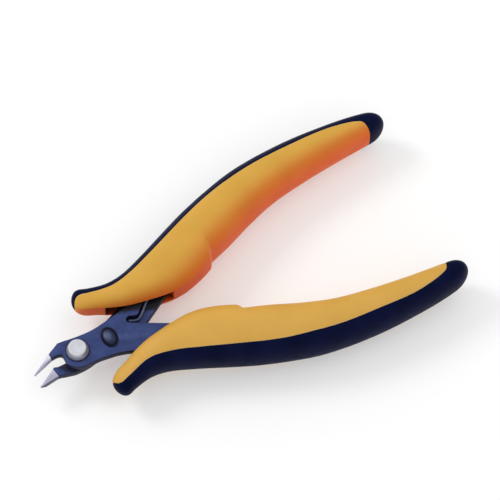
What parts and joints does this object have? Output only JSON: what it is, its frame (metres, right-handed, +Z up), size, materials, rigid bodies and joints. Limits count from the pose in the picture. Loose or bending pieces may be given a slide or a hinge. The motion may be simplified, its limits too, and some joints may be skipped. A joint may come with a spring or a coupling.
{
  "type": "diagonal cutting pliers",
  "caption": "Spring-opened diagonal cutting pliers with a riveted bypass shear head, slim pointed jaws and curved two-tone moulded grips with finger guards.",
  "frame": {"origin": "centre of the footprint, on the surface that the pliers lie on", "axes": "+X from the jaws to the grip tails, +Y towards the upper grip (the one that carries the return spring), +Z up out of the lying tool, towards the rivet's head"},
  "size_m": [0.1398, 0.0718, 0.0216],
  "materials": {
    "blackened_steel": "blue-black oxide on punched steel plate, with brightly ground jaw tips",
    "bright_steel": "turned steel, lightly brushed",
    "dark_steel": "blackened steel",
    "spring_steel": "drawn spring wire",
    "orange_plastic": "amber orange moulded plastic, fine matte texture",
    "navy_overmould": "navy-black soft overmould, matte"
  },
  "bodies": {
    "lower_handle": {"front_lever": "blackened_steel", "pivot_rivet": "bright_steel", "front_pivot_washer": "dark_steel", "rear_pivot_washer": "dark_steel", "stop_stud": "dark_steel", "stop_stud_washer": "dark_steel", "lower_grip_core": "orange_plastic", "lower_grip_cover": "navy_overmould"},
    "upper_handle": {"rear_lever": "blackened_steel", "return_spring": "spring_steel", "upper_grip_core": "orange_plastic", "upper_grip_cover": "navy_overmould"}
  },
  "joints": [
    {"name": "handle_close", "type": "hinge", "parent": "lower_handle", "child": "upper_handle", "pos_m": [-0.0543, 0, 0.0107], "axis": [0, 0, -1], "range_deg": [0, 12], "stiffness_Nm_per_rad": 1.2, "springref_deg": -6.88, "deforming": ["return_spring"]}
  ]
}
